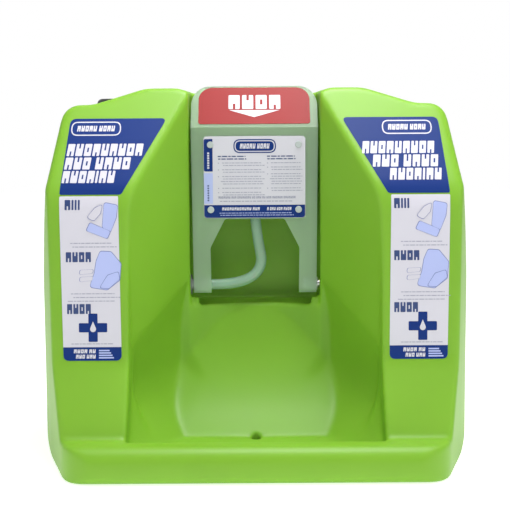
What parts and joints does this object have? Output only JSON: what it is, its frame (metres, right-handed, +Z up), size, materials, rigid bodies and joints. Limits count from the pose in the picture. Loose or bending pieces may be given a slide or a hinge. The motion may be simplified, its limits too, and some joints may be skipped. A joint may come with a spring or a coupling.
{
  "type": "gravity-fed eyewash station",
  "caption": "Portable eyewash tank with a basin and drain in front and a pull-down arm that swings its nozzles over the basin and feeds them through a hose.",
  "frame": {"origin": "bottom centre of the bounding box", "axes": "+X to the right seen from the front, the front faces -Y, +Z up"},
  "size_m": [0.63, 0.476, 0.537],
  "materials": {
    "tank_plastic": "satin, slightly translucent green",
    "vinyl_label": "printed vinyl",
    "pull_label": "printed vinyl",
    "printed_plate": "printed plastic plate",
    "arm_plastic": "translucent",
    "steel": "satin",
    "brass": "turned",
    "hose": "clear flexible tube",
    "rubber": "matt",
    "cap_plastic": "moulded black",
    "white_plastic": "moulded",
    "grey_plastic": "moulded"
  },
  "bodies": {
    "tank": {"decal_left_header": "vinyl_label", "decal_left_strip": "vinyl_label", "decal_right_header": "vinyl_label", "decal_right_strip": "vinyl_label", "outlet_bulkhead": "grey_plastic", "outlet_bulkhead_gasket": "rubber", "outlet_bulkhead_nut": "grey_plastic", "outlet_strainer": "grey_plastic", "pivot_insert": "brass", "pivot_stud": "steel", "tank_shell": "tank_plastic"},
    "arm": {"arm_panel": "arm_plastic", "pull_label": "pull_label", "instruction_plate": "printed_plate", "plate_rivets": "steel", "nozzle_manifold": "grey_plastic", "nozzle_left": "grey_plastic", "nozzle_right": "grey_plastic", "nozzle_cap_left": "white_plastic", "nozzle_cap_right": "white_plastic", "manifold_screws": "steel", "swivel_barb": "white_plastic", "swivel_o_ring": "rubber", "feed_hose": "hose", "hose_clamp_lower": "steel", "hose_clamp_upper": "steel", "pivot_bush": "white_plastic"},
    "cap_lift": {"fill_cap_gasket": "rubber"},
    "cap": {"fill_cap": "cap_plastic"}
  },
  "joints": [
    {"name": "arm_swing", "type": "hinge", "parent": "tank", "child": "arm", "pos_m": [0, 0.012, 0.24], "axis": [1, 0, 0], "range_deg": [0, 90]},
    {"name": "cap_rise", "type": "slide", "parent": "tank", "child": "cap_lift", "axis": [0, 0, 1], "range_m": [0, 0.018]},
    {"name": "cap_turn", "type": "hinge", "parent": "cap_lift", "child": "cap", "pos_m": [-0.192, 0.105, 0.51], "axis": [0, 0, 1], "range_deg": [0, 810]}
  ],
  "couplings": [
    {"joint": "cap_rise", "follows": "cap_turn", "m_per_rad": 0.0012732}
  ]
}
